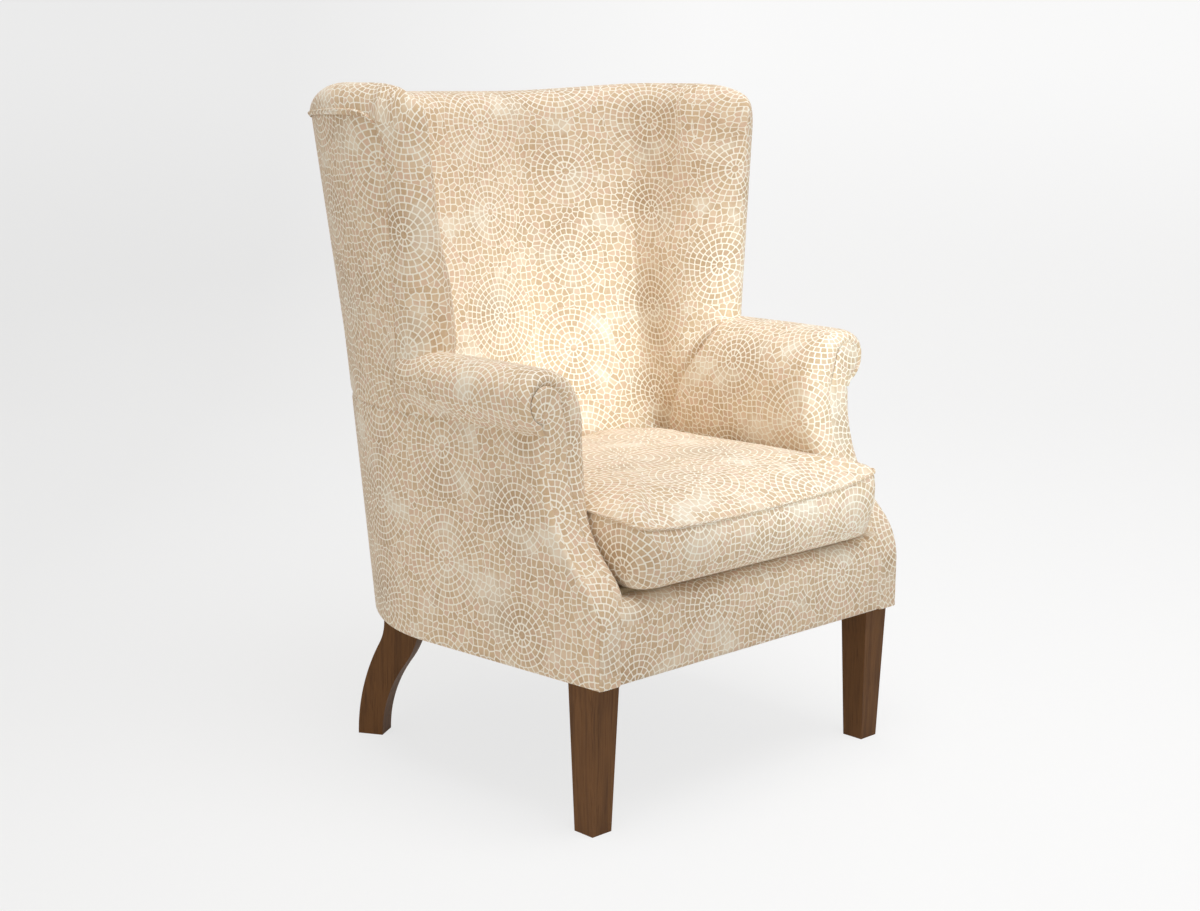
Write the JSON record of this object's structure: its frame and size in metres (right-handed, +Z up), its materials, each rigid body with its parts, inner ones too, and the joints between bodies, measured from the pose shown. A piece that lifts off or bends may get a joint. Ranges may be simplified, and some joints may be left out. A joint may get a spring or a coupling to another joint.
{
  "type": "wing armchair",
  "caption": "Upholstered barrel-backed wing armchair with soft upright flutes, scroll arms, a loose boxed seat cushion, tapered front legs and sabre rear legs.",
  "frame": {"origin": "on the floor, in the middle of the plan", "axes": "+Z up, the chair faces -Y, +X to the right seen from the front"},
  "size_m": [0.7588, 0.8395, 1.0315],
  "materials": {
    "cover_cloth": "printed woven cotton, matt",
    "leg_wood": "dark stained, satin",
    "frame_wood": "plain beech, unfinished",
    "dowel_wood": "plain beech, unfinished",
    "fixing_steel": "zinc plated",
    "slider_metal": "antique finish",
    "zip_tape": "woven tape",
    "dust_cloth": "black non-woven",
    "deck_felt": "felt and hessian",
    "webbing": "woven jute",
    "cushion_foam": "foam wrapped in wadding"
  },
  "bodies": {
    "chair": {"arm_facing_left": "cover_cloth", "arm_facing_right": "cover_cloth", "arm_rail_left": "frame_wood", "arm_rail_right": "frame_wood", "arm_scroll_board_left": "frame_wood", "arm_scroll_board_right": "frame_wood", "back_lower_rail": "frame_wood", "back_post_left": "frame_wood", "back_post_right": "frame_wood", "back_seat_rail": "frame_wood", "back_top_rail": "frame_wood", "back_webbing": "webbing", "back_welt": "cover_cloth", "corner_block_screws": "fixing_steel", "corner_blocks": "frame_wood", "dust_cover": "dust_cloth", "frame_dowels": "dowel_wood", "front_border": "cover_cloth", "front_leg_left": "leg_wood", "front_leg_right": "leg_wood", "front_seat_rail": "frame_wood", "inside_arm_left": "cover_cloth", "inside_arm_right": "cover_cloth", "inside_back": "cover_cloth", "inside_wing_left": "cover_cloth", "inside_wing_right": "cover_cloth", "leg_bolts": "fixing_steel", "outside_arm_left": "cover_cloth", "outside_arm_right": "cover_cloth", "outside_back": "cover_cloth", "outside_wing_left": "cover_cloth", "outside_wing_right": "cover_cloth", "rear_leg_left": "leg_wood", "rear_leg_right": "leg_wood", "seat_deck": "deck_felt", "seat_springs": "fixing_steel", "side_seat_rail_left": "frame_wood", "side_seat_rail_right": "frame_wood", "spring_clips": "fixing_steel", "tee_nuts": "fixing_steel", "wing_post_left": "frame_wood", "wing_post_right": "frame_wood"},
    "seat_cushion": {"seat_cushion_cover": "cover_cloth", "seat_cushion_core": "cushion_foam", "cushion_zip": "zip_tape"},
    "zip_slider": {"zip_slider": "slider_metal"}
  },
  "joints": [
    {"name": "cushion_lift", "type": "slide", "parent": "chair", "child": "seat_cushion", "axis": [0, 0, 1], "range_m": [0, 0.35]},
    {"name": "zip_slide", "type": "slide", "parent": "seat_cushion", "child": "zip_slider", "axis": [-1, 0, 0], "range_m": [0, 0.212]}
  ]
}
